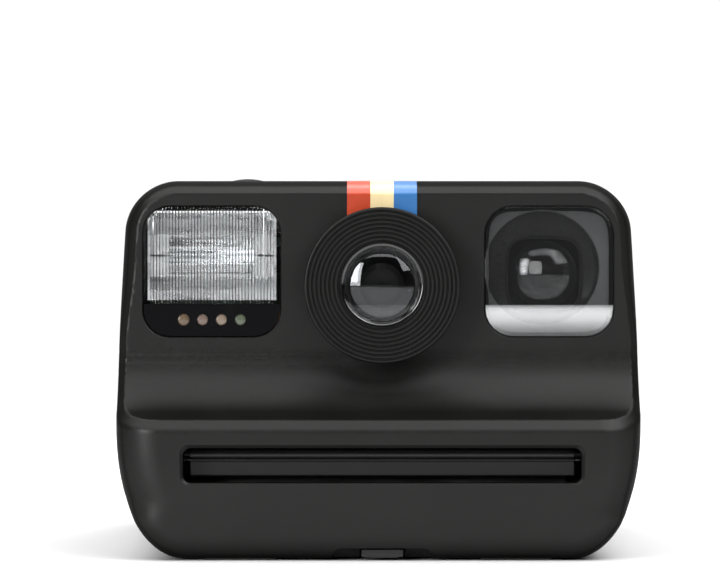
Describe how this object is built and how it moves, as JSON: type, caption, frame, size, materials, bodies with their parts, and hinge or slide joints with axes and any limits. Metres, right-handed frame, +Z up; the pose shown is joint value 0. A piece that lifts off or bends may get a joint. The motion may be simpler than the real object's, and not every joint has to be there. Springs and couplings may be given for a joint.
{
  "type": "instant camera",
  "caption": "Palm-size box instant film camera with a grooved lens ring, flash, viewfinder, front exit slot, sloping back, film door and working rollers.",
  "frame": {"origin": "centre of the bounding box, on the surface the camera stands on", "axes": "+Z up, -Y towards the front with the lens, +X towards the viewfinder side"},
  "size_m": [0.084, 0.105, 0.0614],
  "materials": {
    "shell_black": "fine texture, matte",
    "shell_grey": "matte",
    "inner_black": "matte",
    "gloss_black": "polished",
    "clear_glass": "polished",
    "half_mirror": "half-mirrored",
    "lens_glass": "coated",
    "steel": "brushed",
    "mirror_face": "polished",
    "chrome_face": "polished",
    "stripe_paint": "printed bands: brick red, cream, steel blue",
    "gear_plastic": "natural acetal",
    "brass_pinion": "machined",
    "board_green": "solder mask",
    "battery_wrap": "shrink wrap",
    "copper_coil": "enamelled wire",
    "foam": "foam",
    "rubber": "matte",
    "roller_steel": "ground",
    "sensor_tints": "tinted lenses",
    "display_grey": "segment display"
  },
  "bodies": {
    "camera_body": {"front_cover": "shell_black", "body_shell": "shell_black", "door_hinge_pin": "steel", "accent_stripe": "stripe_paint", "lens_ring": "shell_grey", "lens_rim": "gloss_black", "front_lens": "lens_glass", "lens_barrel": "inner_black", "rear_lens": "lens_glass", "shutter_plate": "inner_black", "shutter_solenoid": "copper_coil", "flash_window": "clear_glass", "sensor_panel": "gloss_black", "sensor_lenses": "sensor_tints", "flash_reflector": "chrome_face", "flash_tube": "clear_glass", "flash_board": "board_green", "flash_capacitor": "battery_wrap", "finder_window": "half_mirror", "finder_objective": "gloss_black", "finder_lens": "lens_glass", "finder_tunnel": "inner_black", "eyepiece_lens": "clear_glass", "eyepiece_bezel": "gloss_black", "shutter_button_spring": "steel", "button_switches": "inner_black", "top_board": "board_green", "main_board": "board_green", "counter_display": "display_grey", "counter_window": "gloss_black", "usb_socket": "steel", "battery": "battery_wrap", "film_frame": "inner_black", "light_chamber": "inner_black", "mirror": "mirror_face", "roller_frame": "steel", "drive_motor": "steel", "exit_flap_pin": "steel", "strap_bars": "steel", "case_screws": "steel", "light_seals": "foam", "base_pads": "rubber"},
    "film_door": {"film_door": "shell_black", "pack_springs": "steel"},
    "door_latch": {"door_latch": "shell_grey"},
    "shutter_button": {"shutter_button": "shell_grey"},
    "power_button": {"power_button": "shell_grey"},
    "flash_button": {"flash_button": "shell_grey"},
    "upper_roller": {"roller_upper": "roller_steel", "roller_gear_upper": "gear_plastic"},
    "lower_roller": {"roller_lower": "roller_steel", "roller_gear_lower": "gear_plastic"},
    "reduction_gear": {"reduction_gear": "gear_plastic"},
    "motor_rotor": {"motor_shaft": "steel", "motor_pinion": "brass_pinion"},
    "pick_arm": {"pick_arm": "steel"},
    "exit_flap": {"exit_flap": "inner_black"},
    "aperture_lever": {"aperture_lever": "shell_grey"},
    "shutter_blade_a": {"shutter_blade_a": "inner_black"},
    "shutter_blade_b": {"shutter_blade_b": "inner_black"}
  },
  "joints": [
    {"name": "film_door_hinge", "type": "hinge", "parent": "camera_body", "child": "film_door", "pos_m": [0, 0.042, 0.0027], "axis": [1, 0, 0], "range_deg": [0, 90]},
    {"name": "door_latch_slide", "type": "slide", "parent": "film_door", "child": "door_latch", "axis": [0, 1, 0], "range_m": [0, 0.002], "stiffness_N_per_m": 300, "springref_m": -0.0005},
    {"name": "shutter_button_press", "type": "slide", "parent": "camera_body", "child": "shutter_button", "axis": [0, 0, -1], "range_m": [0, 0.001], "stiffness_N_per_m": 600, "springref_m": -0.0008, "deforming": ["shutter_button_spring"]},
    {"name": "power_button_press", "type": "slide", "parent": "camera_body", "child": "power_button", "axis": [0, 0, -1], "range_m": [0, 0.0005], "stiffness_N_per_m": 800, "springref_m": -0.0008},
    {"name": "flash_button_press", "type": "slide", "parent": "camera_body", "child": "flash_button", "axis": [0, 0, -1], "range_m": [0, 0.0005], "stiffness_N_per_m": 800, "springref_m": -0.0008},
    {"name": "upper_roller_spin", "type": "hinge", "parent": "camera_body", "child": "upper_roller", "pos_m": [0, -0.0415, 0.01685], "axis": [1, 0, 0], "continuous": true},
    {"name": "lower_roller_spin", "type": "hinge", "parent": "camera_body", "child": "lower_roller", "pos_m": [0, -0.0415, 0.01135], "axis": [1, 0, 0], "continuous": true},
    {"name": "reduction_gear_spin", "type": "hinge", "parent": "camera_body", "child": "reduction_gear", "pos_m": [-0.037, -0.03779, 0.02056], "axis": [1, 0, 0], "continuous": true},
    {"name": "motor_spin", "type": "hinge", "parent": "camera_body", "child": "motor_rotor", "pos_m": [-0.036, -0.03213, 0.02622], "axis": [1, 0, 0], "continuous": true},
    {"name": "pick_arm_slide", "type": "slide", "parent": "camera_body", "child": "pick_arm", "axis": [0, -1, 0], "range_m": [0, 0.006]},
    {"name": "exit_flap_swing", "type": "hinge", "parent": "camera_body", "child": "exit_flap", "pos_m": [0.0006, -0.047, 0.0168], "axis": [-1, 0, 0], "range_deg": [0, 70], "stiffness_Nm_per_rad": 0.0004, "springref_deg": -5.73},
    {"name": "aperture_lever_swing", "type": "hinge", "parent": "camera_body", "child": "aperture_lever", "pos_m": [0.0006, -0.03175, 0.0512], "axis": [0, 1, 0], "range_deg": [0, 42], "stiffness_Nm_per_rad": 0.0002, "springref_deg": -5.73},
    {"name": "shutter_blade_a_swing", "type": "hinge", "parent": "camera_body", "child": "shutter_blade_a", "pos_m": [-0.0068, -0.0292, 0.0438], "axis": [0, 1, 0], "range_deg": [0, 45], "stiffness_Nm_per_rad": 0.0002, "springref_deg": -5.73},
    {"name": "shutter_blade_b_swing", "type": "hinge", "parent": "camera_body", "child": "shutter_blade_b", "pos_m": [0.008, -0.0282, 0.0438], "axis": [0, 1, 0], "range_deg": [0, 45]}
  ],
  "couplings": [
    {"joint": "lower_roller_spin", "follows": "upper_roller_spin", "ratio": -1},
    {"joint": "reduction_gear_spin", "follows": "upper_roller_spin", "ratio": -1.1},
    {"joint": "motor_spin", "follows": "upper_roller_spin", "ratio": 3.3},
    {"joint": "shutter_blade_b_swing", "follows": "shutter_blade_a_swing", "ratio": 1}
  ]
}
